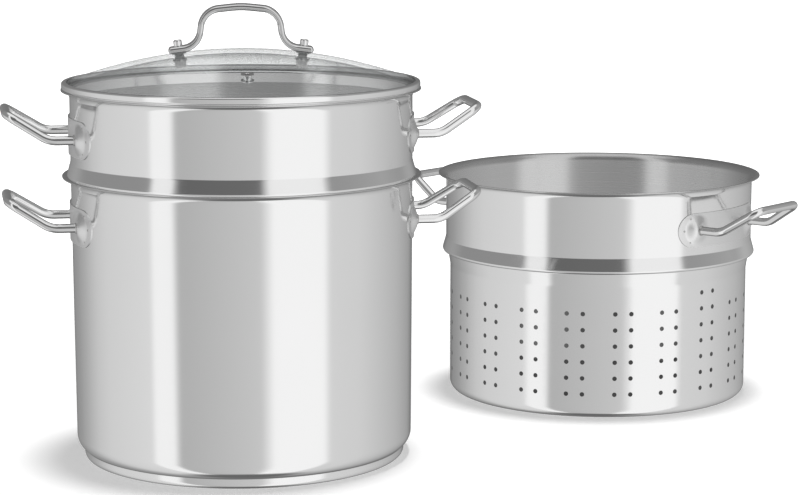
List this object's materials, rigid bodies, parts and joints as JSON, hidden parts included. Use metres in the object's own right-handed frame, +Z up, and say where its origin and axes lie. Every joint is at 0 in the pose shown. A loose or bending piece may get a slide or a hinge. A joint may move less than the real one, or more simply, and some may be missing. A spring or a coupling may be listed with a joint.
{
  "type": "pasta pot with strainer insert",
  "caption": "Tall stockpot with a sandwich base, a perforated strainer insert hung in its mouth, a domed glass lid, and an insert standing beside it.",
  "frame": {"origin": "on the surface that the pot stands on, at the pot's own axis", "axes": "+Z up along the pot's axis, +X through the pot's two handles towards the second insert"},
  "size_m": [0.6016, 0.4389, 0.3217],
  "materials": {
    "satin_steel": "satin",
    "polished_steel": "polished",
    "aluminium_core": "as cast",
    "clear_glass": "clear",
    "clear_silicone": "matt"
  },
  "bodies": {
    "pot": {"pot_shell": "satin_steel", "base_core": "aluminium_core", "base_cap": "satin_steel", "pot_handle_plate_right": "satin_steel", "pot_handle_plate_left": "satin_steel", "pot_handle_right": "polished_steel", "pot_handle_left": "polished_steel"},
    "insert": {"insert_shell": "satin_steel", "insert_handle_plate_right": "satin_steel", "insert_handle_plate_left": "satin_steel", "insert_handle_right": "polished_steel", "insert_handle_left": "polished_steel"},
    "lid": {"lid_rim": "polished_steel", "lid_glass": "clear_glass", "lid_vent_eyelet": "polished_steel", "lid_handle": "polished_steel", "lid_screws": "polished_steel", "lid_grommets": "clear_silicone", "lid_washers": "polished_steel", "lid_nuts": "polished_steel"},
    "second_insert": {"second_insert_shell": "satin_steel", "second_insert_handle_plate_right": "satin_steel", "second_insert_handle_plate_left": "satin_steel", "second_insert_handle_right": "polished_steel", "second_insert_handle_left": "polished_steel"}
  },
  "joints": [
    {"name": "insert_lift", "type": "slide", "parent": "pot", "child": "insert", "axis": [0, 0, 1], "range_m": [0, 0.2]},
    {"name": "lid_lift", "type": "slide", "parent": "insert", "child": "lid", "axis": [0, 0, 1], "range_m": [0, 0.12]},
    {"name": "second_insert_lift", "type": "slide", "parent": "pot", "child": "second_insert", "axis": [0, 0, 1], "range_m": [0, 0.2]}
  ]
}
